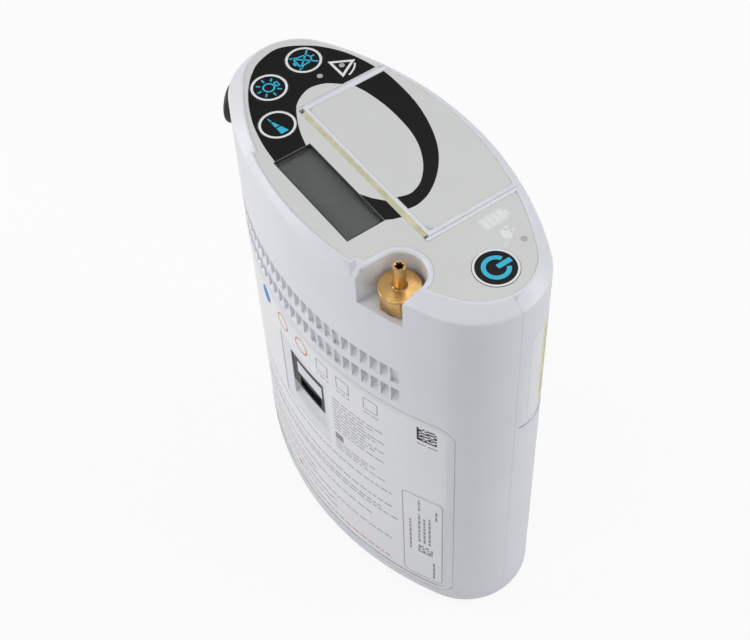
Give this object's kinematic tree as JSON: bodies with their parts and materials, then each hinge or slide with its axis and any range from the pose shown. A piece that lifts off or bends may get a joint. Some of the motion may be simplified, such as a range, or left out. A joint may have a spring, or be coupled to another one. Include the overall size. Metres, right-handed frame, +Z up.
{
  "type": "oxygen concentrator",
  "caption": "Portable oxygen concentrator with a lens-shaped housing, slide-in battery, sloping key panel with display, brass hose outlet and vented front.",
  "frame": {"origin": "centre of the footprint on the surface that the feet stand on", "axes": "+Z up; -Y out of the vented front; +X towards the end with the power key"},
  "size_m": [0.19, 0.096, 0.2445],
  "materials": {
    "housing": "satin moulded",
    "base_plastic": "moulded",
    "panel_film": "printed film",
    "key_film": "printed film",
    "display_glass": "polished",
    "display": "dark",
    "board": "solder mask",
    "component": "moulded",
    "brass": "turned",
    "steel": "plain",
    "aluminium": "machined",
    "rubber": "matt",
    "release_rubber": "matt",
    "seal": "foam",
    "label": "printed film",
    "inlet_plastic": "moulded",
    "light_pipe": "frosted",
    "dark_plastic": "moulded",
    "white_plastic": "moulded",
    "cell_wrap": "shrink film",
    "gold": "plated",
    "media": "granular",
    "copper": "enamelled wire",
    "silicone": "translucent",
    "filter_media": "felt"
  },
  "bodies": {
    "housing": {"front_shell": "housing", "back_shell": "housing", "base_plate": "base_plastic", "feet": "rubber", "housing_screws": "steel", "control_membrane": "panel_film", "indicator_lights": "light_pipe", "display_window": "display_glass", "display_module": "display", "control_board": "board", "board_components": "component", "outlet_fitting": "brass", "outlet_gasket": "rubber", "outlet_nut": "brass", "battery_bay": "white_plastic", "bay_terminals": "gold", "front_label": "label", "rating_label": "label", "side_label": "label", "power_inlet": "inlet_plastic", "inlet_plate": "white_plastic", "inlet_pins": "steel", "crankcase": "aluminium", "crankcase_cover": "aluminium", "motor_can": "steel", "motor_stator": "copper", "cylinder_sleeves": "aluminium", "cylinder_heads": "aluminium", "compressor_isolators": "rubber", "sieve_beds": "aluminium", "sieve_media": "media", "sieve_caps": "dark_plastic", "product_tank": "white_plastic", "valve_manifold": "aluminium", "valve_coils": "dark_plastic", "main_board": "board", "intake_filter": "filter_media", "exhaust_muffler": "dark_plastic", "product_filter": "white_plastic", "hoses": "silicone", "fan_frame": "dark_plastic"},
    "battery": {"battery_case": "housing", "battery_cap": "housing", "battery_label": "panel_film", "battery_seal": "seal", "battery_cells": "cell_wrap", "battery_contacts": "gold"},
    "power_key": {"power_button": "key_film"},
    "alarm_key": {"alarm_button": "key_film"},
    "light_key": {"light_button": "key_film"},
    "flow_key": {"flow_button": "key_film"},
    "release": {"release_button": "release_rubber", "release_hook": "dark_plastic"},
    "crank": {"crankshaft": "steel", "motor_rotor": "dark_plastic"},
    "left_piston": {"piston_left": "aluminium"},
    "right_piston": {"piston_right": "aluminium"},
    "fan": {"fan_rotor": "dark_plastic"},
    "left_plunger": {"valve_plunger_left": "steel"},
    "right_plunger": {"valve_plunger_right": "steel"}
  },
  "joints": [
    {"name": "battery_slide", "type": "slide", "parent": "housing", "child": "battery", "axis": [0, 0, 1], "range_m": [0, 0.1]},
    {"name": "power_press", "type": "slide", "parent": "housing", "child": "power_key", "axis": [0, 0, -1], "range_m": [0, 0.0006], "stiffness_N_per_m": 1500},
    {"name": "alarm_press", "type": "slide", "parent": "housing", "child": "alarm_key", "axis": [0, 0, -1], "range_m": [0, 0.0006], "stiffness_N_per_m": 1500},
    {"name": "light_press", "type": "slide", "parent": "housing", "child": "light_key", "axis": [0, 0, -1], "range_m": [0, 0.0006], "stiffness_N_per_m": 1500},
    {"name": "flow_press", "type": "slide", "parent": "housing", "child": "flow_key", "axis": [0, 0, -1], "range_m": [0, 0.0006], "stiffness_N_per_m": 1500},
    {"name": "release_press", "type": "slide", "parent": "housing", "child": "release", "axis": [0.766, 0.6428, 0], "range_m": [0, 0.0025], "stiffness_N_per_m": 800},
    {"name": "crank_spin", "type": "hinge", "parent": "housing", "child": "crank", "pos_m": [0, 0, 0.037], "axis": [0, 1, 0], "continuous": true},
    {"name": "left_piston_stroke", "type": "slide", "parent": "housing", "child": "left_piston", "axis": [1, 0, 0], "range_m": [-0.0025, 0.0025]},
    {"name": "right_piston_stroke", "type": "slide", "parent": "housing", "child": "right_piston", "axis": [1, 0, 0], "range_m": [-0.0025, 0.0025]},
    {"name": "fan_spin", "type": "hinge", "parent": "housing", "child": "fan", "pos_m": [0, -0.0315, 0.184], "axis": [0, 1, 0], "continuous": true},
    {"name": "left_valve_stroke", "type": "slide", "parent": "housing", "child": "left_plunger", "axis": [0, 0, 1], "range_m": [0, 0.0015], "stiffness_N_per_m": 600},
    {"name": "right_valve_stroke", "type": "slide", "parent": "housing", "child": "right_plunger", "axis": [0, 0, 1], "range_m": [0, 0.0015], "stiffness_N_per_m": 600}
  ]
}
